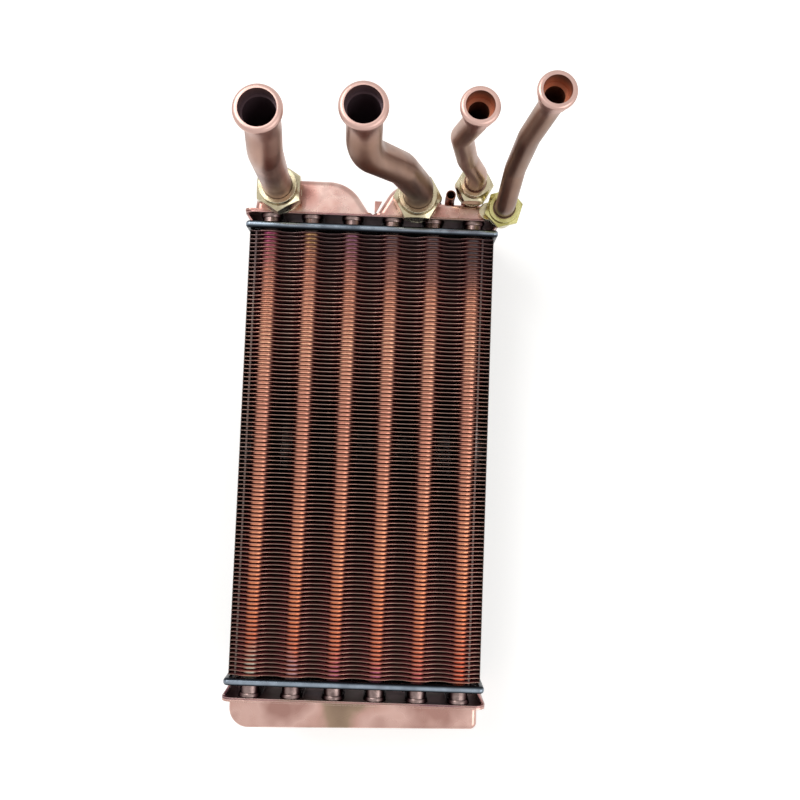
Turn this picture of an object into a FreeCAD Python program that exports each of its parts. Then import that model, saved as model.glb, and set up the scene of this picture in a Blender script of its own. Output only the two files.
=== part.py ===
import FreeCAD, Part
import math
import os

from FreeCAD import Vector

# Tube-in-tube wall boiler heat exchanger, lying on its broad back.
# X runs across the tubes, +Y runs along them to the connection end, +Z is the face with the pipes.
# The origin is the middle of the connection end plate's back edge, on the surface the part lies on.
# All sizes are in millimetres.

# Tubes and fins
tube_count = 6
tube_pitch = 26.0
outer_tube_width = 12.0
outer_tube_depth = 58.0
outer_tube_wall = 0.8
inner_tube_side_gap = 2.5
inner_tube_end_gap = 12.0
inner_tube_wall = 0.8
fin_count = 108
fin_pitch = 2.6
fin_thickness = 0.35
fin_side_margin = 13.0
fin_nose_band = 2.0
fin_hole_clearance = 0.05

# End plates of steel, with a rolled rim
end_plate_sheet = 1.2
end_plate_rim_length = 4.6
end_plate_rim_width = 3.0
end_plate_side_overhang = 2.4
end_plate_face_overhang = 3.0
end_plate_corner = 3.0
end_plate_rim_round = 2.1
end_plate_hole_clearance = 0.1
end_fin_gap = 1.125

# Tube plates of copper, with a flared cheek at each short end
sheet = 1.2
connection_plate_standoff = 9.5
far_plate_standoff = 11.3
tube_plate_side_overhang = 3.7
tube_plate_corner = 6.0
cheek_foot_inset = 4.5
cheek_foot_clearance = 0.2
cheek_width_ratio = 1.15
tube_end_projection = 0.8

# Pressed covers of the connection end
cover_edge_round = 4.0
cover_flange_corner = 4.0
dome_height = 19.8
return_dome_left = -75.5
return_dome_right = -1.5
return_dome_left_slope = 3.0
return_dome_left_round = 10.0
return_dome_right_slope = 14.5
return_dome_right_round = 24.0
flow_dome_left = 2.0
flow_dome_right = 49.0
flow_dome_left_slope = 12.0
flow_dome_left_round = 16.0
flow_dome_right_slope = 11.0
flow_dome_right_round = 5.0
shelf_height = 8.0
shelf_right = 77.0
shelf_slope = 1.5
shelf_round = 3.0
cover_gap = 1.0

# Pressed cap of the far end
far_cap_height = 16.2
far_cap_taper = 3.8
far_cap_side_inset = 1.5
far_cap_wall_setback = 0.5
far_cap_left_round = 12.0
far_cap_right_round = 4.0
far_cap_edge_round = 3.0

# Crossover caps of the hot-water tubes, inside the covers
inner_cap_wall = 0.8
inner_cap_height = 3.6
inner_cap_margin = 1.2
inner_cap_standoff = 2.0
inner_cap_corner = 4.0
far_link_gap = 0.8

# Union nuts, spigots, seals and pipes: heating first, hot water second
heating_pipe_diameter = 18.0
heating_pipe_wall = 1.0
heating_bend_radius = 27.0
heating_thread_step = 2.3
heating_nut_wall = 2.0
heating_nut_height = 15.0
heating_nut_face_wall = 0.5
heating_spigot_wall = 4.3
heating_socket_play = 0.1
heating_socket_depth = 7.0
heating_bead_step = 2.8
heating_bead_height = 4.4
heating_bead_round = 2.1
hot_water_pipe_diameter = 12.0
hot_water_pipe_wall = 1.0
hot_water_bend_radius = 20.0
hot_water_thread_step = 2.5
hot_water_nut_wall = 2.0
hot_water_nut_height = 13.0
hot_water_nut_face_wall = 0.6
hot_water_spigot_wall = 4.0
hot_water_socket_play = 0.9
hot_water_socket_depth = 8.0
hot_water_bead_step = 3.5
hot_water_bead_height = 3.6
hot_water_bead_round = 1.7
nut_crown = 3.0
nut_chamfer_slope = 1.7
nut_neck = 4.0
nut_neck_taper = 0.4
heating_nut_hole_clearance = 0.25
hot_water_nut_hole_clearance = 0.9
thread_clearance = 0.15
foot_thickness = 2.0
foot_clearance = 0.3
seal_thickness = 1.5
spigot_shoulder = 2.0
spigot_base_gap = 0.4
socket_wall = 1.0
nut_rise = 18.0
mouth_rise = 132.0
pipe_foot_run = 18.0
pipe_mouth_run = 17.5

# Where each nut's face stands, and the corners of its pipe on the way to its mouth:
# lower corners by their height above the nuts' faces, upper ones by their depth below the mouths
return_nut_place = (-59.0, 20.8)
return_nut_turn = 30.0
return_upper_corner = (-52.0, 7.2, 38.0)
return_mouth_place = (-50.2, 13.6)
flow_nut_place = (27.9, 18.3)
flow_nut_turn = 0.0
flow_lower_corner = (17.0, 14.8, 55.5)
flow_upper_corner = (-2.4, 8.6, 37.2)
flow_mouth_place = (-1.7, 17.1)
water_out_nut_place = (63.1, 27.4)
water_out_nut_turn = 0.0
water_out_lower_corner = (54.5, 27.7, 37.4)
water_out_upper_corner = (47.4, 23.3, 49.3)
water_out_mouth_place = (51.8, 19.1)
water_in_nut_place = (81.5, 12.2)
water_in_nut_turn = 15.0
water_in_lower_corner = (81.0, 20.9, 45.4)
water_in_upper_corner = (82.2, 24.2, 48.1)
water_in_mouth_place = (87.1, 28.1)
water_in_lean = 9.0
water_in_side_lean = -4.0
water_in_nut_height = 11.0

# Copper elbow under the outlet spigot, and the small open vent beside it
elbow_diameter = 11.0
elbow_wall = 1.0
elbow_bend_radius = 8.0
elbow_offset = 8.0
outlet_cap_reach = 2.5
vent_diameter = 6.2
vent_wall = 0.5
vent_bend_radius = 4.6
vent_place = (49.4, 24.0)
vent_inset = 13.0
vent_reach = 1.0

# Flat brass arm that carries the inlet spigot past the end of the shelf, and the tube behind it
arm_thickness = 3.8
arm_width = 11.0
arm_channel_height = 1.8
arm_channel_width = 6.0
inlet_place = (73.0, 13.6)
inlet_tube_diameter = 5.0
inlet_tube_wall = 0.6
inlet_tube_bend_radius = 3.4
inlet_tube_gap = 1.8
inlet_tube_turn = 40.0

# Small copper tab on the rim between the two domes
tab_left = 1.0
tab_foot = 0.9
tab_width = 4.6
tab_height = 7.5
tab_thickness = 1.0

# Sizes that follow from the ones above
tube_places = [(i - (tube_count - 1) / 2) * tube_pitch for i in range(tube_count)]
inner_tube_width = outer_tube_width - 2 * inner_tube_side_gap
inner_tube_depth = outer_tube_depth - 2 * inner_tube_end_gap
fin_width = (tube_count - 1) * tube_pitch + 2 * fin_side_margin
fin_depth = outer_tube_depth + 2 * fin_nose_band
end_plate_width = fin_width + 2 * end_plate_side_overhang
end_plate_depth = fin_depth + 2 * end_plate_face_overhang
middle_height = end_plate_depth / 2
fins_back = end_plate_face_overhang
fins_front = fins_back + fin_depth
first_fin = -(end_plate_rim_length / 2 + end_fin_gap + fin_thickness / 2)
last_fin = first_fin - (fin_count - 1) * fin_pitch
far_end_plate = last_fin - fin_thickness / 2 - end_fin_gap - end_plate_rim_length / 2
connection_floor = connection_plate_standoff
far_floor = far_end_plate - far_plate_standoff
tube_plate_width = fin_width + 2 * tube_plate_side_overhang
cover_base = connection_floor
heating_thread_diameter = heating_pipe_diameter + 2 * heating_thread_step
heating_nut_flats = heating_thread_diameter + 2 * heating_nut_wall
heating_nut_face = heating_thread_diameter + 2 * heating_nut_face_wall
heating_spigot_bore = heating_thread_diameter - 2 * heating_spigot_wall
heating_socket_bore = heating_pipe_diameter + 2 * heating_socket_play
heating_bead_diameter = heating_pipe_diameter + 2 * heating_bead_step
hot_water_thread_diameter = hot_water_pipe_diameter + 2 * hot_water_thread_step
hot_water_nut_flats = hot_water_thread_diameter + 2 * hot_water_nut_wall
hot_water_nut_face = hot_water_thread_diameter + 2 * hot_water_nut_face_wall
hot_water_spigot_bore = hot_water_thread_diameter - 2 * hot_water_spigot_wall
hot_water_socket_bore = hot_water_pipe_diameter + 2 * hot_water_socket_play
hot_water_bead_diameter = hot_water_pipe_diameter + 2 * hot_water_bead_step
nut_face_height = fins_front + nut_rise
mouth_height = nut_face_height + mouth_rise
elbow_depth = middle_height + elbow_offset
vent_depth = fins_front - vent_inset
vent_mouth_height = fins_front + vent_reach
spigot_foot = nut_face_height - nut_crown - foot_thickness
heating_spigot_length = spigot_foot - seal_thickness - fins_front
hot_water_spigot_length = heating_spigot_length - spigot_base_gap
inner_cap_front = middle_height + inner_tube_depth / 2 + inner_cap_margin
inlet_tube_depth = inner_cap_front + inlet_tube_gap + inlet_tube_diameter / 2


def rounded_outline(points, radii):
    """Closed wire through the points, each corner rounded by its own radius."""
    corners = []
    count = len(points)
    for i in range(count):
        corner = points[i]
        radius = radii[i]
        before = (points[i - 1] - corner).normalize()
        after = (points[(i + 1) % count] - corner).normalize()
        if radius <= 0:
            corners.append((corner, None, corner))
            continue
        half = before.getAngle(after) / 2
        run = radius / math.tan(half)
        towards = (before + after).normalize()
        middle = corner + towards * (radius / math.sin(half) - radius)
        corners.append((corner + before * run, middle, corner + after * run))
    edges = []
    for i in range(count):
        start, middle, end = corners[i]
        following = corners[(i + 1) % count][0]
        if middle is not None:
            edges.append(Part.Arc(start, middle, end).toShape())
        if end.distanceToPoint(following) > 1e-6:
            edges.append(Part.LineSegment(end, following).toShape())
    return Part.Wire(edges)


def flat_slab(x_low, x_high, z_low, z_high, y_low, y_high, corner):
    """Slab square to Y, with its four long edges rounded."""
    points = [
        Vector(x_low, y_low, z_low),
        Vector(x_high, y_low, z_low),
        Vector(x_high, y_low, z_high),
        Vector(x_low, y_low, z_high),
    ]
    outline = rounded_outline(points, [corner] * 4)
    return Part.Face(outline).extrude(Vector(0, y_high - y_low, 0))


def oval_bar(x, width, depth, y_low, y_high):
    """Bar of flat oval section along Y, at mid height."""
    return flat_slab(
        x - width / 2,
        x + width / 2,
        middle_height - depth / 2,
        middle_height + depth / 2,
        y_low,
        y_high,
        width / 2 - 1e-4,
    )


def oval_tube(x, width, depth, wall, y_low, y_high):
    """Flat oval tube along Y."""
    outside = oval_bar(x, width, depth, y_low, y_high)
    bore = oval_bar(x, width - 2 * wall, depth - 2 * wall, y_low, y_high)
    return outside.cut(bore)


def cut_all(body, tools):
    """Body less each of the tools."""
    return body.cut(Part.makeCompound(tools))


def make_fins():
    """Pack of plain fins, each with a slot for every tube."""
    slot_width = outer_tube_width + 2 * fin_hole_clearance
    slot_depth = outer_tube_depth + 2 * fin_hole_clearance
    fin = Part.makeBox(
        fin_width,
        fin_thickness,
        fin_depth,
        Vector(-fin_width / 2, first_fin - fin_thickness / 2, fins_back),
    )
    slots = []
    for x in tube_places:
        corner = Vector(x - slot_width / 2, first_fin - fin_thickness, middle_height - slot_depth / 2)
        slots.append(Part.makeBox(slot_width, 2 * fin_thickness, slot_depth, corner))
    fin = cut_all(fin, slots)
    fins = []
    for i in range(fin_count):
        copy = fin.copy()
        copy.translate(Vector(0, -i * fin_pitch, 0))
        fins.append(copy)
    return Part.makeCompound(fins)


def make_end_plate(y):
    """Steel sheet with tube holes, and a rolled rim all round it."""
    half_width = end_plate_width / 2
    half_rim = end_plate_rim_length / 2
    rim = flat_slab(
        -half_width, half_width, 0, end_plate_depth, y - half_rim, y + half_rim, end_plate_corner
    )
    round_edges = [e for e in rim.Edges if abs(abs(e.CenterOfMass.y - y) - half_rim) < 0.01]
    rim = rim.makeFillet(end_plate_rim_round, round_edges)
    window = flat_slab(
        -half_width + end_plate_rim_width,
        half_width - end_plate_rim_width,
        end_plate_rim_width,
        end_plate_depth - end_plate_rim_width,
        y - half_rim,
        y + half_rim,
        end_plate_corner / 2,
    )
    web = flat_slab(
        -half_width + end_plate_rim_width / 2,
        half_width - end_plate_rim_width / 2,
        end_plate_rim_width / 2,
        end_plate_depth - end_plate_rim_width / 2,
        y - end_plate_sheet / 2,
        y + end_plate_sheet / 2,
        end_plate_corner / 2,
    )
    width = outer_tube_width + 2 * end_plate_hole_clearance
    depth = outer_tube_depth + 2 * end_plate_hole_clearance
    holes = [oval_bar(x, width, depth, y - half_rim, y + half_rim) for x in tube_places]
    return cut_all(rim.cut(window).fuse(web), holes).removeSplitter()


def make_tube_plate(floor, end_plate, outwards):
    """Copper plate with tube holes and a flared cheek at each short end."""
    half_width = tube_plate_width / 2
    low, high = sorted((floor, floor - outwards * sheet))
    plate = flat_slab(-half_width, half_width, fins_back, fins_front, low, high, tube_plate_corner)
    holes = [oval_bar(x, outer_tube_width, outer_tube_depth, low, high) for x in tube_places]
    foot = end_plate + outwards * (end_plate_rim_length / 2 + cheek_foot_clearance)
    top = floor - outwards * sheet / 2
    across = sheet * cheek_width_ratio
    cheeks = []
    for side in (-1, 1):
        outline = [
            Vector(side * half_width, top, fins_back + tube_plate_corner),
            Vector(side * (half_width - across), top, fins_back + tube_plate_corner),
            Vector(side * (half_width - cheek_foot_inset - across), foot, fins_back + tube_plate_corner),
            Vector(side * (half_width - cheek_foot_inset), foot, fins_back + tube_plate_corner),
        ]
        cheek = Part.Face(rounded_outline(outline, [0] * 4))
        cheeks.append(cheek.extrude(Vector(0, 0, fin_depth - 2 * tube_plate_corner)))
    return cut_all(plate.fuse(cheeks), holes).removeSplitter()


def outer_tubes():
    """Heating-water tubes, from tube plate to tube plate."""
    low = far_floor - tube_end_projection
    high = connection_floor + tube_end_projection
    tubes = {}
    for i, x in enumerate(tube_places):
        tube = oval_tube(x, outer_tube_width, outer_tube_depth, outer_tube_wall, low, high)
        tubes[f"outer_tube_{i + 1}"] = tube
    return tubes


def inner_cap_levels():
    """Y of the seats of the crossover caps: connection end, near far link, long far link."""
    near = connection_floor + inner_cap_standoff
    far_short = far_floor - inner_cap_standoff
    far_long = far_short - inner_cap_height - far_link_gap
    return near, far_short, far_long


def inner_tubes():
    """Hot-water tubes inside the heating tubes; the first and last reach the long link."""
    near, far_short, far_long = inner_cap_levels()
    tubes = {}
    for i, x in enumerate(tube_places):
        low = far_long if i in (0, tube_count - 1) else far_short
        tube = oval_tube(
            x,
            inner_tube_width,
            inner_tube_depth,
            inner_tube_wall,
            low - inner_cap_wall,
            near + inner_cap_wall,
        )
        tubes[f"inner_tube_{i + 1}"] = tube
    return tubes


def make_inner_cap(first, last, seat, outwards, joined, reach=0, ports=()):
    """Flat closed channel over the ends of hot-water tubes first to last, with its ports."""
    half_width = inner_tube_width / 2 + inner_cap_margin
    half_depth = inner_tube_depth / 2 + inner_cap_margin
    x_low = tube_places[first] - half_width - reach
    x_high = tube_places[last] + half_width
    z_low = middle_height - half_depth
    z_high = middle_height + half_depth
    low, high = sorted((seat, seat + outwards * inner_cap_height))
    wall = inner_cap_wall
    outside = flat_slab(x_low, x_high, z_low, z_high, low, high, inner_cap_corner)
    inside = flat_slab(
        x_low + wall,
        x_high - wall,
        z_low + wall,
        z_high - wall,
        low + wall,
        high - wall,
        inner_cap_corner - wall,
    )
    low, high = sorted((seat, seat + outwards * wall))
    holes = [oval_bar(tube_places[i], inner_tube_width, inner_tube_depth, low, high) for i in joined]
    return cut_all(outside.cut(inside), holes + list(ports))


def inner_caps():
    """Crossover caps that join the hot-water tubes."""
    near, far_short, far_long = inner_cap_levels()
    last = tube_count - 1
    return {
        "inner_cap_left": make_inner_cap(0, 2, near, 1, range(0, 3)),
        "inner_cap_middle": make_inner_cap(3, last - 1, near, 1, range(3, last), ports=[inlet_port()]),
        "inner_cap_right": make_inner_cap(last, last, near, 1, [last], outlet_cap_reach, [outlet_port()]),
        "inner_link_short": make_inner_cap(1, last - 1, far_short, -1, range(1, last)),
        "inner_link_long": make_inner_cap(0, last, far_long, -1, [0, last]),
    }


def pressed_box(
    left, right, base, top, left_slope, right_slope, left_round, right_round, setback, taper, inset
):
    """Solid of a pressed dome with sloped ends, whose top falls by taper to the right."""
    rise = 1 if top > base else -1
    top = top - rise * inset
    z_low = fins_back + setback + inset
    z_high = fins_front - setback - inset
    points = [
        Vector(left + inset, base, z_low),
        Vector(left + left_slope + inset, top, z_low),
        Vector(right - right_slope - inset, top - rise * taper, z_low),
        Vector(right - inset, base, z_low),
    ]
    radii = [0, left_round - inset, right_round - inset, 0]
    body = Part.Face(rounded_outline(points, radii)).extrude(Vector(0, 0, z_high - z_low))
    rim = []
    for edge in body.Edges:
        middle = edge.CenterOfMass
        on_end_face = abs(middle.z - z_low) < 0.01 or abs(middle.z - z_high) < 0.01
        if on_end_face and abs(middle.y - base) > 0.01:
            rim.append(edge)
    return body, rim


def pressed_shell(
    left, right, base, top, left_slope, right_slope, left_round, right_round, edge_round, setback=0, taper=0
):
    """Outer and inner solids of a pressed dome of one sheet thickness."""
    solids = []
    for inset in (0, sheet):
        body, rim = pressed_box(
            left, right, base, top, left_slope, right_slope, left_round, right_round, setback, taper, inset
        )
        solids.append(body.makeFillet(edge_round - inset, rim))
    return solids


def cover_flange(left, right, base, outwards, corner):
    """Flat sheet round the foot of a cover, on the tube plate."""
    low, high = sorted((base, base + outwards * sheet))
    return flat_slab(left, right, fins_back, fins_front, low, high, corner)


def make_return_cover():
    """Pressed cover over the first three tubes, with the return connection."""
    base = cover_base
    flange = cover_flange(-tube_plate_width / 2, -cover_gap / 2, base, 1, cover_flange_corner)
    outer, inner = pressed_shell(
        return_dome_left,
        return_dome_right,
        base,
        base + sheet + dome_height,
        return_dome_left_slope,
        return_dome_right_slope,
        return_dome_left_round,
        return_dome_right_round,
        cover_edge_round,
    )
    bore = front_hole(return_nut_place, heating_spigot_bore)
    return flange.fuse(outer).cut(inner).cut(bore).removeSplitter()


def make_flow_cover():
    """Pressed cover over the last three tubes: a dome with the flow connection, and a low shelf."""
    base = cover_base
    flange = cover_flange(cover_gap / 2, tube_plate_width / 2, base, 1, cover_flange_corner)
    dome_outer, dome_inner = pressed_shell(
        flow_dome_left,
        flow_dome_right,
        base,
        base + sheet + dome_height,
        flow_dome_left_slope,
        flow_dome_right_slope,
        flow_dome_left_round,
        flow_dome_right_round,
        cover_edge_round,
    )
    shelf_outer, shelf_inner = pressed_shell(
        flow_dome_right - flow_dome_right_slope,
        shelf_right,
        base,
        base + sheet + shelf_height,
        shelf_slope,
        shelf_slope,
        shelf_round,
        shelf_round,
        shelf_round,
    )
    tools = [
        dome_inner.fuse(shelf_inner),
        front_hole(flow_nut_place, heating_spigot_bore),
        top_hole(water_out_nut_place[0], elbow_depth, elbow_diameter),
        top_hole(vent_place[0], vent_depth, vent_diameter),
        front_hole(inlet_place, inlet_tube_diameter),
    ]
    return cut_all(flange.fuse([dome_outer, shelf_outer]), tools).removeSplitter()


def front_hole(place, diameter):
    """Cutter for a hole through a cover's front wall."""
    start = Vector(place[0], place[1], middle_height)
    return Part.makeCylinder(diameter / 2, fin_depth, start, Vector(0, 0, 1))


def top_hole(x, z, diameter):
    """Cutter for a hole through the shelf's top."""
    start = Vector(x, cover_base + sheet + shelf_height / 2, z)
    return Part.makeCylinder(diameter / 2, dome_height, start, Vector(0, 1, 0))


def outlet_port():
    """Cutter for the outlet elbow's hole in the top of its crossover cap."""
    start = Vector(water_out_nut_place[0], inner_cap_top() - inner_cap_wall * 1.5, elbow_depth)
    return Part.makeCylinder(elbow_diameter / 2 - elbow_wall, elbow_diameter, start, Vector(0, 1, 0))


def inlet_port():
    """Cutter for the inlet tube's hole in the front wall of its crossover cap."""
    start = Vector(inlet_tube_turn, inlet_place[1], inner_cap_front - inner_cap_wall * 1.5)
    return Part.makeCylinder(inlet_tube_diameter / 2 - inlet_tube_wall, inlet_tube_diameter, start)


def inner_cap_top():
    """Y of the top of the crossover caps at the connection end."""
    return inner_cap_levels()[0] + inner_cap_height


def make_far_cap():
    """Pressed cap over all the tubes at the far end."""
    base = far_floor
    half_width = tube_plate_width / 2
    flange = cover_flange(-half_width, half_width, base, -1, tube_plate_corner)
    half_cap = fin_width / 2 - far_cap_side_inset
    outer, inner = pressed_shell(
        -half_cap,
        half_cap,
        base,
        base - sheet - far_cap_height,
        0,
        0,
        far_cap_left_round,
        far_cap_right_round,
        far_cap_edge_round,
        far_cap_wall_setback,
        far_cap_taper,
    )
    return flange.fuse(outer).cut(inner).removeSplitter()


def turned(points, radii):
    """Solid turned round Z from a section of (radius, height) points."""
    section = [Vector(r, 0, z) for r, z in points]
    face = Part.Face(rounded_outline(section, radii))
    return face.revolve(Vector(0, 0, 0), Vector(0, 0, 1), 360)


def turned_ring(outside, inside, low, high):
    """Plain ring round Z."""
    points = [(inside / 2, low), (outside / 2, low), (outside / 2, high), (inside / 2, high)]
    return turned(points, [0] * 4)


def tube_along(points, radius, diameter, wall):
    """Round tube of straight runs and touching arcs through the points."""
    pieces = []
    outer = diameter / 2
    inner = diameter / 2 - wall
    at = points[0]
    for i in range(1, len(points)):
        end = points[i]
        heading = (end - at).normalize()
        arc = None
        if i + 1 < len(points):
            corner = points[i]
            before = (at - corner).normalize()
            after = (points[i + 1] - corner).normalize()
            half = before.getAngle(after) / 2
            run = radius / math.tan(half)
            end = corner + before * run
            centre = corner + (before + after).normalize() * (radius / math.sin(half))
            axis = before.cross(after).normalize() * -1
            arc = (centre, axis, 180 - math.degrees(2 * half))
        length = end.distanceToPoint(at)
        bar = Part.makeCylinder(outer, length, at, heading)
        pieces.append(bar.cut(Part.makeCylinder(inner, length, at, heading)))
        if arc:
            disc = Part.Face(Part.Wire(Part.Circle(end, heading, outer).toShape()))
            hole = Part.Face(Part.Wire(Part.Circle(end, heading, inner).toShape()))
            pieces.append(disc.cut(hole).Faces[0].revolve(*arc))
            at = corner + after * run
    return pieces


def make_nut(flats, height, face, thread, hole):
    """Union nut, chamfered at both ends; height 0 is the foot of the pipe that its crown holds."""
    top = foot_thickness + nut_crown
    base = top - height
    corner = flats / math.sqrt(3)
    points = []
    for i in range(6):
        angle = math.radians(60 * i)
        points.append(Vector(corner * math.cos(angle), corner * math.sin(angle), base))
    hexagon = Part.Face(rounded_outline(points, [0] * 6)).extrude(Vector(0, 0, height))
    chamfer = (corner - face / 2) / nut_chamfer_slope
    section = [
        (hole / 2, top),
        (hole / 2, foot_thickness),
        (thread / 2, foot_thickness),
        (thread / 2, base),
        (face / 2, base),
        (corner, base + chamfer),
        (corner, top - nut_neck - chamfer),
        (face / 2 + nut_neck_taper, top - nut_neck),
        (face / 2, top),
    ]
    return hexagon.common(turned(section, [0] * 9))


def make_spigot(thread, bore, length):
    """Threaded brass spigot with a round shoulder at its foot, below the seal."""
    top = -seal_thickness
    low = top - length
    shoulder = low + spigot_shoulder
    section = [
        (bore / 2, low),
        (thread / 2 + spigot_shoulder, low),
        (thread / 2 + spigot_shoulder, shoulder),
        (thread / 2, shoulder),
        (thread / 2, top),
        (bore / 2, top),
    ]
    return turned(section, [0] * 6)


def make_pipe_foot(diameter, wall, foot, run):
    """Flat flange at the foot of a pipe, with the straight run above it."""
    section = [
        (diameter / 2 - wall, 0),
        (foot / 2, 0),
        (foot / 2, foot_thickness),
        (diameter / 2, foot_thickness),
        (diameter / 2, run),
        (diameter / 2 - wall, run),
    ]
    return turned(section, [0] * 6)


def make_pipe_mouth(diameter, wall, socket, bead):
    """Stepped socket with a rolled bead; height 0 is the mouth."""
    bore, depth = socket
    bead_diameter, bead_height, bead_round = bead
    sleeve = bore / 2 + socket_wall
    section = [
        (diameter / 2 - wall, -depth - 3 * wall),
        (diameter / 2, -depth - 3 * wall),
        (sleeve, -depth - wall),
        (sleeve, -bead_height),
        (bead_diameter / 2, -bead_height),
        (bead_diameter / 2, 0),
        (bore / 2, 0),
        (bore / 2, -depth),
        (diameter / 2 - wall, -depth),
    ]
    return turned(section, [0, 0, 0, 0, bead_round, bead_round, 0, 0, 0])


def placed(solid, frame):
    """Copy of a solid in another frame."""
    copy = solid.copy()
    copy.Placement = frame.multiply(copy.Placement)
    return copy


def connection_frame(place, lean=0, side_lean=0, turn=0):
    """Frame of a connection: its origin is the middle of the pipe's foot, its Z the nut's axis."""
    rotation = FreeCAD.Rotation(Vector(1, 0, 0), lean).multiply(FreeCAD.Rotation(Vector(0, 1, 0), side_lean))
    face = Vector(place[0], place[1], nut_face_height)
    origin = face - rotation.multVec(Vector(0, 0, foot_thickness + nut_crown))
    return FreeCAD.Placement(origin, rotation.multiply(FreeCAD.Rotation(Vector(0, 0, 1), turn)))


def make_pipe(frame, corners, mouth_place, diameter, wall, radius, foot, socket, bead):
    """Bent connection pipe, from its foot in the nut to its mouth."""
    end = Vector(mouth_place[0], mouth_place[1], mouth_height)
    mouth_length = socket[1] + 3 * wall
    points = [frame.multVec(Vector(0, 0, foot_thickness * 2))]
    points.append(frame.multVec(Vector(0, 0, pipe_foot_run)))
    points += corners
    points.append(end - Vector(0, 0, pipe_mouth_run))
    points.append(end - Vector(0, 0, mouth_length))
    pieces = tube_along(points, radius, diameter, wall)
    low = placed(make_pipe_foot(diameter, wall, foot, foot_thickness * 2), frame)
    high = placed(make_pipe_mouth(diameter, wall, socket, bead), FreeCAD.Placement(end, FreeCAD.Rotation()))
    return low.fuse(pieces + [high]).removeSplitter()


def heating_connection(name, place, turn, corners, mouth_place):
    """Spigot, seal, nut and pipe of one heating connection."""
    frame = connection_frame(place, turn=turn)
    bore = heating_pipe_diameter - 2 * heating_pipe_wall
    foot = heating_thread_diameter - 2 * foot_clearance
    nut_bore = heating_thread_diameter + 2 * thread_clearance
    nut_hole = heating_pipe_diameter + 2 * heating_nut_hole_clearance
    nut = make_nut(heating_nut_flats, heating_nut_height, heating_nut_face, nut_bore, nut_hole)
    spigot = make_spigot(heating_thread_diameter, heating_spigot_bore, heating_spigot_length)
    pipe = make_pipe(
        frame,
        corners,
        mouth_place,
        heating_pipe_diameter,
        heating_pipe_wall,
        heating_bend_radius,
        foot,
        (heating_socket_bore, heating_socket_depth),
        (heating_bead_diameter, heating_bead_height, heating_bead_round),
    )
    return {
        f"{name}_spigot": placed(spigot, frame),
        f"{name}_seal": placed(turned_ring(foot, bore, -seal_thickness, 0), frame),
        f"{name}_nut": placed(nut, frame),
        f"{name}_pipe": pipe,
    }


def hot_water_connection(name, frame, nut_height, corners, mouth_place):
    """Seal, nut and pipe of one hot-water connection."""
    bore = hot_water_pipe_diameter - 2 * hot_water_pipe_wall
    foot = hot_water_thread_diameter - 2 * foot_clearance
    nut_bore = hot_water_thread_diameter + 2 * thread_clearance
    nut_hole = hot_water_pipe_diameter + 2 * hot_water_nut_hole_clearance
    nut = make_nut(hot_water_nut_flats, nut_height, hot_water_nut_face, nut_bore, nut_hole)
    pipe = make_pipe(
        frame,
        corners,
        mouth_place,
        hot_water_pipe_diameter,
        hot_water_pipe_wall,
        hot_water_bend_radius,
        foot,
        (hot_water_socket_bore, hot_water_socket_depth),
        (hot_water_bead_diameter, hot_water_bead_height, hot_water_bead_round),
    )
    return {
        f"{name}_seal": placed(turned_ring(foot, bore, -seal_thickness, 0), frame),
        f"{name}_nut": placed(nut, frame),
        f"{name}_pipe": pipe,
    }


def lower_corner(corner):
    """Point of a pipe's corner that is given by its height above the nuts' faces."""
    return Vector(corner[0], corner[1], nut_face_height + corner[2])


def upper_corner(corner):
    """Point of a pipe's corner that is given by its depth below the mouths."""
    return Vector(corner[0], corner[1], mouth_height - corner[2])


def water_out_frame():
    """Frame of the outlet connection."""
    return connection_frame(water_out_nut_place, turn=water_out_nut_turn)


def water_in_frame():
    """Frame of the inlet connection, which leans towards the tubes."""
    return connection_frame(water_in_nut_place, water_in_lean, water_in_side_lean, water_in_nut_turn)


def make_water_in_spigot():
    """Inlet spigot cast in one with its flat arm and the stub that enters the shelf's front wall."""
    bore = hot_water_spigot_bore
    frame = water_in_frame()
    low = fins_front + spigot_base_gap
    high = low + arm_thickness
    foot = frame.multVec(Vector(0, 0, 0))
    length = -seal_thickness + foot.z - low - arm_thickness / 2
    threaded = turned_ring(hot_water_thread_diameter, bore, -seal_thickness - length, -seal_thickness)
    spigot = placed(threaded, frame)
    centre = (water_in_nut_place[0], water_in_nut_place[1])
    arm = arm_slab(centre, hot_water_thread_diameter, arm_width, low, high)
    stub = Part.makeCylinder(arm_width / 2 - 1, low - fins_front, Vector(*inlet_place, fins_front))
    middle = (low + high) / 2
    half_channel = arm_channel_height / 2
    channel = arm_slab(centre, bore, arm_channel_width, middle - half_channel, middle + half_channel)
    spigot_hole = placed(turned_ring(bore, 0.02, -seal_thickness - length, 0), frame)
    spigot_bore = Part.makeCylinder(bore / 2, high - middle, Vector(*centre, middle))
    stub_bore = Part.makeCylinder(
        inlet_tube_diameter / 2 - inlet_tube_wall, middle - fins_front, Vector(*inlet_place, fins_front)
    )
    return cut_all(arm.fuse([spigot, stub]), [channel, spigot_bore, spigot_hole, stub_bore])


def arm_slab(centre, end_diameter, width, low, high):
    """Flat slab from the inlet's place to a round end."""
    inlet = Vector(*inlet_place, low)
    end = Vector(*centre, low)
    along = (end - inlet).normalize()
    across = Vector(-along.y, along.x, 0) * (width / 2)
    bar = Part.makePolygon([inlet + across, end + across, end - across, inlet - across, inlet + across])
    body = Part.Face(bar).extrude(Vector(0, 0, high - low))
    body = body.fuse(Part.makeCylinder(width / 2, high - low, inlet))
    return body.fuse(Part.makeCylinder(end_diameter / 2, high - low, end)).removeSplitter()


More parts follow.
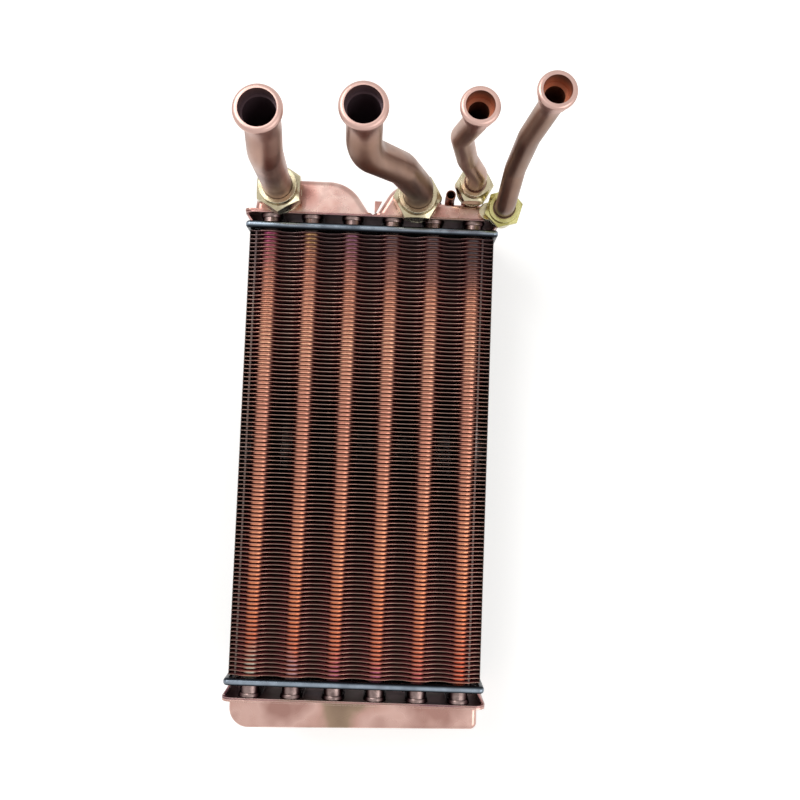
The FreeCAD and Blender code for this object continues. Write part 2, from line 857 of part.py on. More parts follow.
def make_inlet_tube():
    """Small copper tube inside the shelf, from the inlet to its crossover cap."""
    x, y = inlet_place
    points = [
        Vector(x, y, fins_front),
        Vector(x, y, inlet_tube_depth),
        Vector(inlet_tube_turn, y, inlet_tube_depth),
        Vector(inlet_tube_turn, y, inner_cap_front),
    ]
    pieces = tube_along(points, inlet_tube_bend_radius, inlet_tube_diameter, inlet_tube_wall)
    return pieces[0].fuse(pieces[1:]).removeSplitter()


def make_elbow():
    """Copper elbow that rises from its crossover cap through the shelf and turns to the outlet spigot."""
    x, y = water_out_nut_place
    low = water_out_frame().multVec(Vector(0, 0, -seal_thickness - hot_water_spigot_length))
    points = [Vector(x, inner_cap_top(), elbow_depth), Vector(x, y, elbow_depth), low]
    pieces = tube_along(points, elbow_bend_radius, elbow_diameter, elbow_wall)
    return pieces[0].fuse(pieces[1:]).removeSplitter()


def make_vent():
    """Small open tube that rises from the shelf's top and turns to the front."""
    x, y = vent_place
    points = [
        Vector(x, cover_base + shelf_height, vent_depth),
        Vector(x, y, vent_depth),
        Vector(x, y, vent_mouth_height),
    ]
    pieces = tube_along(points, vent_bend_radius, vent_diameter, vent_wall)
    return pieces[0].fuse(pieces[1:]).removeSplitter()


def make_tab():
    """Small copper tab between the domes, narrow at its foot."""
    y = cover_base + sheet
    z = fins_front - tab_thickness
    points = [
        Vector(tab_left, y, z),
        Vector(tab_left + tab_foot, y, z),
        Vector(tab_left + tab_width, y + tab_height, z),
        Vector(tab_left, y + tab_height, z),
    ]
    return Part.Face(rounded_outline(points, [0] * 4)).extrude(Vector(0, 0, tab_thickness))


def make_parts():
    """Every piece by the name of its node."""
    parts = {"fins": make_fins()}
    parts.update(outer_tubes())
    parts.update(inner_tubes())
    parts.update(inner_caps())
    parts["connection_end_plate"] = make_end_plate(0)
    parts["far_end_plate"] = make_end_plate(far_end_plate)
    parts["connection_tube_plate"] = make_tube_plate(connection_floor, 0, 1)
    parts["far_tube_plate"] = make_tube_plate(far_floor, far_end_plate, -1)
    parts["return_cover"] = make_return_cover()
    parts["flow_cover"] = make_flow_cover()
    parts["far_cap"] = make_far_cap()
    corners = [upper_corner(return_upper_corner)]
    parts.update(
        heating_connection("return", return_nut_place, return_nut_turn, corners, return_mouth_place)
    )
    corners = [lower_corner(flow_lower_corner), upper_corner(flow_upper_corner)]
    parts.update(heating_connection("flow", flow_nut_place, flow_nut_turn, corners, flow_mouth_place))
    corners = [lower_corner(water_out_lower_corner), upper_corner(water_out_upper_corner)]
    parts.update(
        hot_water_connection(
            "water_out", water_out_frame(), hot_water_nut_height, corners, water_out_mouth_place
        )
    )
    corners = [lower_corner(water_in_lower_corner), upper_corner(water_in_upper_corner)]
    parts.update(
        hot_water_connection(
            "water_in", water_in_frame(), water_in_nut_height, corners, water_in_mouth_place
        )
    )
    out_spigot = make_spigot(hot_water_thread_diameter, hot_water_spigot_bore, hot_water_spigot_length)
    parts["water_out_spigot"] = placed(out_spigot, water_out_frame())
    parts["water_out_elbow"] = make_elbow()
    parts["water_in_spigot"] = make_water_in_spigot()
    parts["water_in_tube"] = make_inlet_tube()
    parts["vent_tube"] = make_vent()
    parts["rim_tab"] = make_tab()
    return parts


os.makedirs("parts", exist_ok=True)
for node, shape in make_parts().items():
    shape.exportStep(f"parts/{node}.step")
    print(node, len(shape.Solids), round(shape.Volume), shape.isValid())
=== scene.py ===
# %% [markdown]
# # Dressing a boiler heat exchanger
#
# The part is the heart of a wall boiler: a pack of thin copper fins on six flat tubes, a steel plate and
# a pressed copper header at each end, and four bent pipes held by brass union nuts. It lies on its back
# and the camera looks down on it, so the pipes rise towards the eye.
#
# The CAD model is loaded first and never moved. Everything in this lesson is in metres, in the CAD's own
# frame, so a new piece is right as soon as it is worked out from the boxes of the nodes round it.

import math
import random

import bpy
from mathutils import Euler, Matrix, Vector


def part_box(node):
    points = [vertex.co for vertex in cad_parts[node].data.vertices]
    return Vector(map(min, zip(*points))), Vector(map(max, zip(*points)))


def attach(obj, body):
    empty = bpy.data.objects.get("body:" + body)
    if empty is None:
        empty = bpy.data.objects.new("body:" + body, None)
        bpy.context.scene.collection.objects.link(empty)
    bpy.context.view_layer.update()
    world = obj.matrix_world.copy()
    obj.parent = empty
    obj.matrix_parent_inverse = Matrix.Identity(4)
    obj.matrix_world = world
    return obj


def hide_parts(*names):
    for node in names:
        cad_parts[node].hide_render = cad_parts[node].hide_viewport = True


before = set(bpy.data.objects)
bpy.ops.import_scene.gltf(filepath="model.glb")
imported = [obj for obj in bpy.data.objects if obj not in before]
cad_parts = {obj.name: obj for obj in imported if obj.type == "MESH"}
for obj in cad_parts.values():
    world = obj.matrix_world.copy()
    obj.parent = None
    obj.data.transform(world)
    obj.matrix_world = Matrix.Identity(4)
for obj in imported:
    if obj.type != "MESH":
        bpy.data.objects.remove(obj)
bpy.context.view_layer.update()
MM = 0.001

# %% [markdown]
# ## Reading sizes from the nodes
#
# The fins, tubes and plates are at known places, but a number typed twice goes wrong once. Each size that
# the new pieces need is measured here from the boxes of the nodes, and only the two counts and the
# thickness of the fins' sheet are written down.

# %% Measure the core
TUBE_COUNT = 6
FIN_COUNT = 108
FIN_THICKNESS = 0.35 * MM
fins_low, fins_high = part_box("fins")
core_middle = (fins_low + fins_high) / 2
core_half = (fins_high - fins_low) / 2
fin_pitch = (fins_high.y - fins_low.y - FIN_THICKNESS) / (FIN_COUNT - 1)
first_fin = fins_high.y - FIN_THICKNESS / 2
fin_ys = [first_fin - i * fin_pitch for i in range(FIN_COUNT)]
tube_boxes = [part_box(f"outer_tube_{i + 1}") for i in range(TUBE_COUNT)]
tube_places = [(low.x + high.x) / 2 for low, high in tube_boxes]
tube_pitch = tube_places[1] - tube_places[0]
tube_low, tube_high = tube_boxes[0]
tube_radius = (tube_high.x - tube_low.x) / 2
print("fin pitch in mm:", round(fin_pitch / MM, 3), "tube pitch in mm:", round(tube_pitch / MM, 2))

# %% [markdown]
# ## The camera
#
# The photograph looks almost straight down, from about half a metre above the fins. The place and the
# small tilts were solved from the corners of the fin pack and the ends of the pipes.

# %% Set up the camera
CAMERA_PLACE = Vector((15.57, -139.42, 580.37)) * MM
CAMERA_TILT = Euler((-0.06034, 0.01203, -0.03844), "XYZ").to_matrix().transposed()
CAMERA_LENS = 36.9
camera = bpy.data.objects.new("camera", bpy.data.cameras.new("camera"))
camera.data.lens = CAMERA_LENS
camera.matrix_world = Matrix.Translation(CAMERA_PLACE) @ CAMERA_TILT.to_4x4()
bpy.context.collection.objects.link(camera)
bpy.context.scene.camera = camera
print("camera height in mm:", round(camera.location.z / MM))

# %% [markdown]
# ## Colours and shader nodes
#
# Colours are easiest to pick as the hex values of a picture editor, but shaders work with linear light.
# One small function does that change. Two more feed a node's inputs and add a node with its settings and
# links, so that each material below reads as a short recipe.

# %% Helpers for colours and nodes
def linear(code):
    """Linear RGBA of an sRGB hex value."""
    channels = [int(code[i:i + 2], 16) / 255 for i in (1, 3, 5)]
    light = [c / 12.92 if c <= 0.04045 else ((c + 0.055) / 1.055) ** 2.4 for c in channels]
    return (*light, 1.0)


def feed(tree, node, inputs):
    """Feeds a node's inputs: a socket is linked to the input, and any other value is written into it."""
    for name, value in inputs.items():
        if isinstance(value, bpy.types.NodeSocket):
            tree.links.new(value, node.inputs[name])
        else:
            node.inputs[name].default_value = value


def add(tree, kind, inputs=None, ramp=None, **settings):
    """Adds a node: settings are its properties, inputs feed it, and ramp holds its colour stops."""
    node = tree.nodes.new("ShaderNode" + kind)
    for name, value in settings.items():
        setattr(node, name, value)
    feed(tree, node, inputs or {})
    if ramp:
        stops = node.color_ramp.elements
        while len(stops) < len(ramp):
            stops.new(1.0)
        for stop, (position, code) in zip(stops, ramp):
            stop.position = position
            stop.color = linear(code)
    return node


print("white as linear light:", linear("#FFFFFF")[:3])

# %% [markdown]
# ## Patterns at their real size
#
# Every material starts in the same way: a shader, and the coordinates of the object it is on. No piece is
# moved from the CAD's origin, so those coordinates are the CAD's own, and a pattern's scale follows from
# its real width in millimetres.

# %% Start of a material
def per_metre(size_mm):
    """Texture scale at which one patch of the pattern is about size_mm wide."""
    return 1 / (size_mm * MM)


def start_material(name):
    """New material with its tree, its shader and the socket of the CAD's coordinates."""
    material = bpy.data.materials.new(name)
    material.use_nodes = True
    tree = material.node_tree
    shader = tree.nodes["Principled BSDF"]
    place = add(tree, "TexCoord").outputs["Object"]
    return material, tree, shader, place


print("scale of a 30 mm pattern:", round(per_metre(30.0), 1))

# %% [markdown]
# ## Metal with a history
#
# None of these metals is clean. Copper that has been brazed in a furnace is pink where the flux cleaned
# it, brown where air reached it hot, and purple in between. The recipe here lets the colour wander between
# a few stops over patches of a real size, gives the gloss its own finer wander, and adds a grain as bump.
# The bevel node rounds the normals at sharp edges, which catches a thin line of light as a real pressed
# edge does, and where it turns them far enough the edge takes a worn colour.

# %% The recipe for a worn metal
GLOSS_FINER = 2.5
GLOSS_NOISE = (0.3, 0.7)
GRAIN_STRENGTH = 0.6
WORN_TURN = (0.98, 0.8)
WORN_SHARE = 0.8


def metal(name, colours, patch_mm, gloss, grain_mm, bump_mm, edge=None, stretch=(1, 1, 1)):
    """Metal in patches of patch_mm; gloss is the roughness, low and high; edge is its mm and its colour."""
    material, tree, shader, place = start_material(name)
    mapped = add(tree, "Mapping", {"Vector": place, "Scale": stretch}).outputs["Vector"]
    patches = add(tree, "TexNoise", {"Vector": mapped, "Scale": per_metre(patch_mm), "Detail": 3.0,
                                     "Roughness": 0.5}).outputs["Fac"]
    colour = add(tree, "ValToRGB", {"Fac": patches}, ramp=colours).outputs["Color"]
    cloud = add(tree, "TexNoise", {"Vector": mapped, "Scale": per_metre(patch_mm / GLOSS_FINER),
                                   "Detail": 3.0}).outputs["Fac"]
    rough = add(tree, "MapRange", {"Value": cloud, "From Min": GLOSS_NOISE[0], "From Max": GLOSS_NOISE[1],
                                   "To Min": gloss[0], "To Max": gloss[1]}).outputs["Result"]
    grain = add(tree, "TexNoise", {"Vector": mapped, "Scale": per_metre(grain_mm), "Detail": 2.0})
    bump = add(tree, "Bump", {"Height": grain.outputs["Fac"], "Distance": bump_mm * MM,
                              "Strength": GRAIN_STRENGTH})
    if edge:
        rounded = add(tree, "Bevel", {"Radius": edge[0] * MM}, samples=4).outputs["Normal"]
        flat = add(tree, "NewGeometry").outputs["Normal"]
        turn = add(tree, "VectorMath", {0: rounded, 1: flat}, operation="DOT_PRODUCT").outputs["Value"]
        worn = add(tree, "MapRange", {"Value": turn, "From Min": WORN_TURN[0], "From Max": WORN_TURN[1],
                                      "To Max": WORN_SHARE}).outputs["Result"]
        colour = add(tree, "Mix", {0: worn, 6: colour, 7: linear(edge[1])}, data_type="RGBA").outputs[2]
        feed(tree, bump, {"Normal": rounded})
    feed(tree, shader, {"Metallic": 1.0, "Base Color": colour, "Roughness": rough,
                        "Normal": bump.outputs["Normal"]})
    return material, tree, shader, place, colour


print("an edge looks worn from this turn in degrees:", round(math.degrees(math.acos(WORN_TURN[0])), 1))

# %% [markdown]
# ## Header copper
#
# The headers are deep-drawn from annealed copper sheet and brazed on. Annealing leaves them soft, matt and
# pale pink, with greenish-brown shadows where flux ran. The patches are a few centimetres wide. The far cap
# is a little paler, in broader patches, and the tube plates stood in the smoke of the brazing, which left
# them purple-brown.

# %% Copper sheet of the covers, the cap and the tube plates
header_copper = metal(
    "annealed_copper_sheet",
    [(0.30, "#8E645C"), (0.42, "#B68C82"), (0.54, "#C8AAA0"), (0.63, "#AC8278"), (0.74, "#887062")],
    patch_mm=30.0, gloss=(0.2, 0.36), grain_mm=0.9, bump_mm=0.02, edge=(0.5, "#EBC6BA"))[0]
cap_copper = metal(
    "annealed_copper_far_cap",
    [(0.32, "#A67E74"), (0.45, "#CEA99E"), (0.53, "#C29A8E"), (0.60, "#9A826E"), (0.72, "#86705F")],
    patch_mm=44.0, gloss=(0.2, 0.34), grain_mm=0.9, bump_mm=0.02, edge=(0.6, "#F0D2C6"))[0]
plate_copper = metal(
    "sooted_copper_tube_plate",
    [(0.32, "#6E4850"), (0.5, "#A07672"), (0.66, "#8A7262")],
    patch_mm=26.0, gloss=(0.28, 0.42), grain_mm=0.9, bump_mm=0.02, edge=(0.8, "#DCC4BA"))[0]
print("materials:", header_copper.name, cap_copper.name, plate_copper.name)

# %% [markdown]
# ## The mouths of the pipes
#
# The mouths are seen almost straight on, so the inside of each pipe needs a finish of its own. The CAD has
# one material slot to a pipe. Its faces could be split, but a mask in the material leaves the node as it
# is. The mask needs the middle of the mouth and the radius of the bore, read from the node's top points.

# %% Find the mouths
PIPES = ("return_pipe", "flow_pipe", "water_out_pipe", "water_in_pipe")
MOUTH_BAND = 0.2 * MM


def mouth_of(name):
    """Middle of a pipe's mouth and the radius of its bore, read from the highest points of the node."""
    points = [v.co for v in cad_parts[name].data.vertices]
    top = max(p.z for p in points)
    ring = [p for p in points if p.z > top - MOUTH_BAND]
    xs = [p.x for p in ring]
    ys = [p.y for p in ring]
    centre = Vector(((min(xs) + max(xs)) / 2, (min(ys) + max(ys)) / 2, top))
    return centre, min((p - centre).xy.length for p in ring)


mouths = {name: mouth_of(name) for name in PIPES}
print("bores in mm:", {name: round(2 * bore / MM, 1) for name, (_, bore) in mouths.items()})

# %% [markdown]
# ## Inside and outside of a pipe
#
# Four tests tell the inside: it is no further from the mouth's axis than the bore, doesn't face away from
# that axis, and lies below the rim and above the first bend. Each test gives 0 or 1, and their product is
# the mask.

# %% Mask of a bore
STRAIGHT_BORE = 30 * MM
INWARD_SHARE = 0.3


def inside_bore(tree, from_mouth, down, bore):
    """Socket that is 1 on the straight inside of a pipe and 0 elsewhere."""
    flat = add(tree, "VectorMath", {0: from_mouth, 1: (1, 1, 0)}, operation="MULTIPLY").outputs[0]
    radius = add(tree, "VectorMath", {0: flat}, operation="LENGTH").outputs["Value"]
    normal = add(tree, "NewGeometry").outputs["Normal"]
    outwards = add(tree, "VectorMath", {0: normal, 1: flat}, operation="DOT_PRODUCT").outputs["Value"]
    mask = 1.0
    for measure, operation, limit in ((radius, "LESS_THAN", bore + MOUTH_BAND),
                                      (outwards, "LESS_THAN", INWARD_SHARE * bore),
                                      (down, "LESS_THAN", -2 * MOUTH_BAND),
                                      (down, "GREATER_THAN", -STRAIGHT_BORE)):
        passed = add(tree, "Math", {0: measure, 1: limit}, operation=operation).outputs[0]
        mask = add(tree, "Math", {0: mask, 1: passed}, operation="MULTIPLY").outputs[0]
    return mask


print("straight bore in mm:", round(STRAIGHT_BORE / MM))

# %% [markdown]
# ## Drawn copper pipe
#
# The connection pipes are drawn tube, bent and then heated at the mouth to roll the bead. Drawing leaves
# fine lines along the pipe, so the pattern is stretched upwards, and handling dulls it to brown, while the
# heated mouth stays pinkish and paler. Each pipe gets its own brown. The two wide pipes are dark inside, and
# the two narrow ones bright orange down to the step in their bore; in each bore the colour darkens with
# depth as painted shade.

# %% Copper of the four pipes
DRAWN_STRETCH = (1, 1, 0.35)
PALE_FROM = -24 * MM
PALE_TO = -3 * MM
PALE_SHARE = 0.85


def pipe_copper(node, colours, bore_ramp, bore_metallic):
    """Drawn copper of a pipe, paler at its mouth, with its own colours down the bore, darkening with depth
    as painted shade.
    """
    material, tree, shader, place, colour = metal(
        "drawn_copper_" + node, colours,
        patch_mm=24.0, gloss=(0.32, 0.46), grain_mm=0.7, bump_mm=0.02, stretch=DRAWN_STRETCH)
    centre, bore = mouths[node]
    from_mouth = add(tree, "VectorMath", {0: place, 1: centre}, operation="SUBTRACT").outputs[0]
    down = add(tree, "SeparateXYZ", {"Vector": from_mouth}).outputs["Z"]
    pale = add(tree, "MapRange", {"Value": down, "From Min": PALE_FROM, "From Max": PALE_TO,
                                  "To Max": PALE_SHARE}, interpolation_type="SMOOTHSTEP").outputs["Result"]
    colour = add(tree, "Mix", {0: pale, 6: colour, 7: linear("#CFACA2")}, data_type="RGBA").outputs[2]
    inside = inside_bore(tree, from_mouth, down, bore)
    # Painted shade: the bore's colour darkens with depth below the mouth.
    depth = add(tree, "MapRange", {"Value": down, "From Max": -STRAIGHT_BORE}).outputs["Result"]
    bore_colour = add(tree, "ValToRGB", {"Fac": depth}, ramp=bore_ramp).outputs["Color"]
    dressed = add(tree, "Mix", {0: inside, 6: colour, 7: bore_colour}, data_type="RGBA").outputs[2]
    metallic = add(tree, "MapRange", {"Value": inside, "To Min": 1.0, "To Max": bore_metallic})
    feed(tree, shader, {"Base Color": dressed, "Metallic": metallic.outputs["Result"]})
    return material


# The colours down a bore, darker with depth as painted shade, and how metallic it is.
DARK_BORE_SHADED = [(0.0, "#7A5A58"), (0.25, "#5A464C"), (1.0, "#4A3A42")], 0.3
BRIGHT_BORE = [(0.0, "#A87464"), (0.15, "#B87C60"), (0.4, "#9E664E"), (1.0, "#72493C")], 0.8
PIPE_COLOURS = {
    "return_pipe": ([(0.32, "#8E6E64"), (0.5, "#B29082"), (0.68, "#9A786E")], DARK_BORE_SHADED),
    "flow_pipe": ([(0.32, "#7A5E52"), (0.5, "#9C7C6C"), (0.68, "#886A5C")], DARK_BORE_SHADED),
    "water_out_pipe": ([(0.32, "#9A7868"), (0.5, "#B89686"), (0.68, "#A68476")], BRIGHT_BORE),
    "water_in_pipe": ([(0.32, "#725A4E"), (0.5, "#957868"), (0.68, "#80665A")], BRIGHT_BORE),
}
pipe_finishes = {}
for node, (colours, bore_finish) in PIPE_COLOURS.items():
    pipe_finishes[node] = pipe_copper(node, colours, *bore_finish)
print("pipe finishes:", sorted(pipe_finishes))

# %% [markdown]
# ## Steel of the end plates
#
# The end plates are thin steel with a rolled rim. They went through the furnace with the rest, which left
# them blue-grey and smooth. The colour follows the distance from the middle of the rim: the crest keeps the
# steel's light colour as a painted highlight, and its flanks take painted shade, nearly black.

# %% Furnace-blued steel
CREST_HALF = 0.5 * MM
CREST_FADE = 1.5 * MM
STEEL_PLATES = ("connection_end_plate", "far_end_plate")
steel_middles = [sum(corner.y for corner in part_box(name)) / 2 for name in STEEL_PLATES]


def blued_steel():
    """Blue-grey steel with a painted highlight along the middle of each plate's rim and painted shade,
    nearly black, beside it.
    """
    material, tree, shader, place, colour = metal(
        "blued_steel_sheet",
        [(0.34, "#5E6670"), (0.5, "#94A0AC"), (0.66, "#747A84")],
        patch_mm=24.0, gloss=(0.22, 0.34), grain_mm=0.8, bump_mm=0.02)
    distance = add(tree, "SeparateXYZ", {"Vector": place}).outputs["Y"]
    for offset in (sum(steel_middles) / 2, (steel_middles[0] - steel_middles[1]) / 2):
        shifted = add(tree, "Math", {0: distance, 1: offset}, operation="SUBTRACT").outputs[0]
        distance = add(tree, "Math", {0: shifted}, operation="ABSOLUTE").outputs[0]
    # Painted shade: nearly black on the rim's flanks, leaving the light crest as a painted highlight.
    shade = add(tree, "MapRange", {"Value": distance, "From Min": CREST_HALF,
                                   "From Max": CREST_FADE}).outputs["Result"]
    shaded = add(tree, "Mix", {0: shade, 6: colour, 7: linear("#24282E")}, data_type="RGBA").outputs[2]
    feed(tree, shader, {"Base Color": shaded})
    return material


plate_steel = blued_steel()
print("middles of the steel plates in mm:", [round(y / MM, 1) for y in steel_middles])

# %% [markdown]
# ## Brass of the union nuts and spigots
#
# Union nuts are hot-stamped brass, machined on the faces. The brass here is a pale one, greenish in the
# shade, and the inlet's nut is a little yellower than the others.

# %% Machined brass
nut_brass = metal(
    "machined_brass",
    [(0.3, "#A09478"), (0.5, "#CDC2A4"), (0.7, "#B5A98A")],
    patch_mm=9.0, gloss=(0.16, 0.3), grain_mm=0.5, bump_mm=0.01, edge=(0.5, "#EAE2C8"))[0]
yellow_brass = metal(
    "machined_brass_yellow",
    [(0.3, "#A69E60"), (0.5, "#CFC88C"), (0.7, "#B6AE70")],
    patch_mm=9.0, gloss=(0.16, 0.3), grain_mm=0.5, bump_mm=0.01, edge=(0.5, "#ECE8B4"))[0]
print("materials:", nut_brass.name, yellow_brass.name)

# %% [markdown]
# ## Fibre seals and the inner copper
#
# The flat seals are pressed fibre, matt and red-brown, with short fibres about half a millimetre wide. The
# tubes and caps inside the headers are never seen from outside, and are plain copper gone brown with
# water. The small vent tube has gone the same brown.

# %% Seal fibre and inner copper
FIBRE_MM = 0.5
FIBRE_RELIEF = 0.05 * MM


def pressed_fibre():
    """Matt red-brown fibre of the seals."""
    material, tree, shader, place = start_material("pressed_seal_fibre")
    fibres = add(tree, "TexNoise", {"Vector": place, "Scale": per_metre(FIBRE_MM),
                                    "Detail": 5.0}).outputs["Fac"]
    colour = add(tree, "ValToRGB", {"Fac": fibres}, ramp=[(0.3, "#5E2B22"), (0.7, "#8C4A3A")])
    bump = add(tree, "Bump", {"Height": fibres, "Distance": FIBRE_RELIEF})
    feed(tree, shader, {"Base Color": colour.outputs["Color"], "Normal": bump.outputs["Normal"],
                        "Roughness": 0.85})
    return material


seal_fibre = pressed_fibre()
inner_copper = metal(
    "water_side_copper", [(0.3, "#6E4636"), (0.7, "#9A6A54")],
    patch_mm=12.0, gloss=(0.35, 0.5), grain_mm=0.8, bump_mm=0.02)[0]
print("materials:", seal_fibre.name, inner_copper.name)

# %% [markdown]
# ## Where on the core
#
# Three helpers place the heat colours and the painted shade: one tells how far a point is from the nearest
# tube, one how far it is along the core, and one paints shade on the flanks of the tubes, where they curve
# away between the fins. A noise as wide as the tubes' spacing shifts the colours a little from tube to tube.

# %% Helpers along and across the core
WHOLE_PITCHES = 4
TINT_WANDER = 0.06
FLANK_START = 0.38
FLANK_END = 0.8
FLANK_SHARE = 0.9


def from_nearest_tube(tree, place):
    """Socket with the distance along X to the middle of the nearest tube; whole pitches keep it positive."""
    x = add(tree, "SeparateXYZ", {"Vector": place}).outputs["X"]
    start = tube_places[0] - WHOLE_PITCHES * tube_pitch
    shifted = add(tree, "Math", {0: x, 1: start}, operation="SUBTRACT").outputs["Value"]
    return add(tree, "Math", {0: shifted, 1: tube_pitch / 2}, operation="PINGPONG").outputs["Value"]


def along_core(tree, place):
    """Socket from 0 at the connection end of the fins to 1 at their far end, shifted a little by noise."""
    y = add(tree, "SeparateXYZ", {"Vector": place}).outputs["Y"]
    run = add(tree, "MapRange", {"Value": y, "From Min": fins_high.y,
                                 "From Max": fins_low.y}).outputs["Result"]
    shift = add(tree, "TexNoise", {"Vector": place, "Scale": per_metre(tube_pitch / MM), "Detail": 2.0})
    wander = add(tree, "MapRange", {"Value": shift.outputs["Fac"], "To Min": -TINT_WANDER,
                                    "To Max": TINT_WANDER}).outputs["Result"]
    return add(tree, "Math", {0: run, 1: wander}, operation="ADD", use_clamp=True).outputs["Value"]


def shade_flanks(tree, place, colour, flank_colour):
    """Socket of colour with painted shade on the flanks of each tube."""
    near = from_nearest_tube(tree, place)
    flank = add(tree, "MapRange", {"Value": near, "From Min": tube_radius * FLANK_START,
                                   "From Max": tube_radius * FLANK_END, "To Max": FLANK_SHARE},
                interpolation_type="SMOOTHSTEP").outputs["Result"]
    return add(tree, "Mix", {0: flank, 6: colour, 7: linear(flank_colour)}, data_type="RGBA").outputs[2]


print("flank colour starts in mm from a tube's middle:", round(tube_radius * FLANK_START / MM, 1))

# %% [markdown]
# ## Heat colours on the noses of the tubes
#
# Where a tube's rounded nose comes to the front, each fin wraps it with a short collar, and these bright
# arcs are what the eye sees first. The furnace coloured them along the tube: greyish pink at both ends,
# peach in the upper half, then orange and a deep orange-red. A ramp along Y holds that order. Near the
# plates each tube ends in a tint of its own, which starts sooner on some tubes than on others, and two
# more ramps across the tubes hold those.

# %% Copper of the fin collars
NOSE_RAMP = [
    (0.00, "#9C6458"), (0.06, "#B27260"), (0.14, "#C88A70"), (0.25, "#DCA486"),
    (0.40, "#D4947E"), (0.54, "#D8947A"), (0.70, "#E09672"), (0.84, "#DA845C"), (1.00, "#C4604A"),
]
FIRST_TINTS = [
    (0.0, "#883E5A"), (0.2, "#A47E58"), (0.4, "#84586A"),
    (0.6, "#5C4C4E"), (0.8, "#584A4C"), (1.0, "#4E4446"),
]
LAST_TINTS = [
    (0.0, "#A8A898"), (0.2, "#A8868A"), (0.4, "#A0586C"),
    (0.6, "#A25872"), (0.8, "#B25A5C"), (1.0, "#C8583C"),
]
# Tints, where along the core they start at the first and at the last tube, and where they are full.
END_TINTS = ((FIRST_TINTS, 0.08, 0.16, 0.02), (LAST_TINTS, 0.945, 0.925, 0.98))
COLLAR_PATCH_MM = 3.0
COLLAR_GLOSS = (0.25, 0.55)


def heat_tinted_collars():
    """Copper of the collars, coloured along the tubes, tinted tube by tube near the plates, with painted
    shade on the flanks.
    """
    material, tree, shader, place = start_material("heat_tinted_copper_collars")
    run = along_core(tree, place)
    colour = add(tree, "ValToRGB", {"Fac": run}, ramp=NOSE_RAMP).outputs["Color"]
    x = add(tree, "SeparateXYZ", {"Vector": place}).outputs["X"]
    across = add(tree, "MapRange", {"Value": x, "From Min": tube_places[0],
                                    "From Max": tube_places[-1]}).outputs["Result"]
    for tints, first_start, last_start, full in END_TINTS:
        tint = add(tree, "ValToRGB", {"Fac": across}, ramp=tints).outputs["Color"]
        start = add(tree, "MapRange", {"Value": across, "To Min": first_start, "To Max": last_start})
        share = add(tree, "MapRange", {"Value": run, "From Min": start.outputs["Result"],
                                       "From Max": full}).outputs["Result"]
        colour = add(tree, "Mix", {0: share, 6: colour, 7: tint}, data_type="RGBA").outputs[2]
    noise = add(tree, "TexNoise", {"Vector": place, "Scale": per_metre(COLLAR_PATCH_MM), "Detail": 3.0})
    rough = add(tree, "MapRange", {"Value": noise.outputs["Fac"], "To Min": COLLAR_GLOSS[0],
                                   "To Max": COLLAR_GLOSS[1]}).outputs["Result"]
    # Painted shade, dark red-brown, on the flanks of each collar where the nose curves away.
    feed(tree, shader, {"Base Color": shade_flanks(tree, place, colour, "#4A1C1E"), "Roughness": rough,
                        "Metallic": 1.0})
    return material


collar_copper = heat_tinted_collars()
print("heat colours:", len(NOSE_RAMP))

# %% [markdown]
# ## Copper of the tubes
#
# Between the fins the tubes are near black, which is painted shade from the fins round them. The short stubs
# that show between the steel plates and the headers keep a greyish pink. A mask along Y tells the two apart.

# %% Copper of the flat tubes
SHADE_FADE_START = core_half.y - 1 * MM
SHADE_FADE_END = core_half.y + 2 * MM


def flat_tube_copper():
    """Drawn copper of the flat tubes, with painted shade between the fins and on the flanks, greyish pink
    past the fins.
    """
    material, tree, shader, place, colour = metal(
        "drawn_copper_flat_tube",
        [(0.3, "#66544F"), (0.5, "#907C78"), (0.7, "#685754")],
        patch_mm=7.0, gloss=(0.25, 0.42), grain_mm=0.7, bump_mm=0.02)
    y = add(tree, "SeparateXYZ", {"Vector": place}).outputs["Y"]
    shifted = add(tree, "Math", {0: y, 1: core_middle.y}, operation="SUBTRACT").outputs["Value"]
    reach = add(tree, "Math", {0: shifted}, operation="ABSOLUTE").outputs["Value"]
    past_painted_shade = add(tree, "MapRange", {"Value": reach, "From Min": SHADE_FADE_START,
                                   "From Max": SHADE_FADE_END}).outputs["Result"]
    # Painted shade: near black between the fins and fading out past them, then darker on the flanks of each
    # tube.
    colour = add(tree, "Mix", {0: past_painted_shade, 6: linear("#321411"), 7: colour}, data_type="RGBA").outputs[2]
    feed(tree, shader, {"Base Color": shade_flanks(tree, place, colour, "#3C2226")})
    return material


tube_copper = flat_tube_copper()
print("half length of the core in mm:", round(core_half.y / MM, 1))

# %% [markdown]
# ## Copper of the fins
#
# A fin is 0.35 mm sheet. Its faces are nearly black with soot and oxide, so the gaps read as dark, and its
# sheared edge is bright and pinkish grey. Faces, edges and tabs all darken towards the connection end.
# Soot isn't metal, so the faces are only partly metallic. The mesh gives the edge its own material slot.
# Close to a tube the faces keep a purple-brown heat stain, which the distance to the nearest tube places.

# %% Fin faces, fin edges and folded tabs
SOOT_MM = 9.0
STAIN_WANDER = 0.12
DARK_END_REACH = 0.16
DARK_END_SHARE = 0.75
GLOSS_WANDER = 0.1


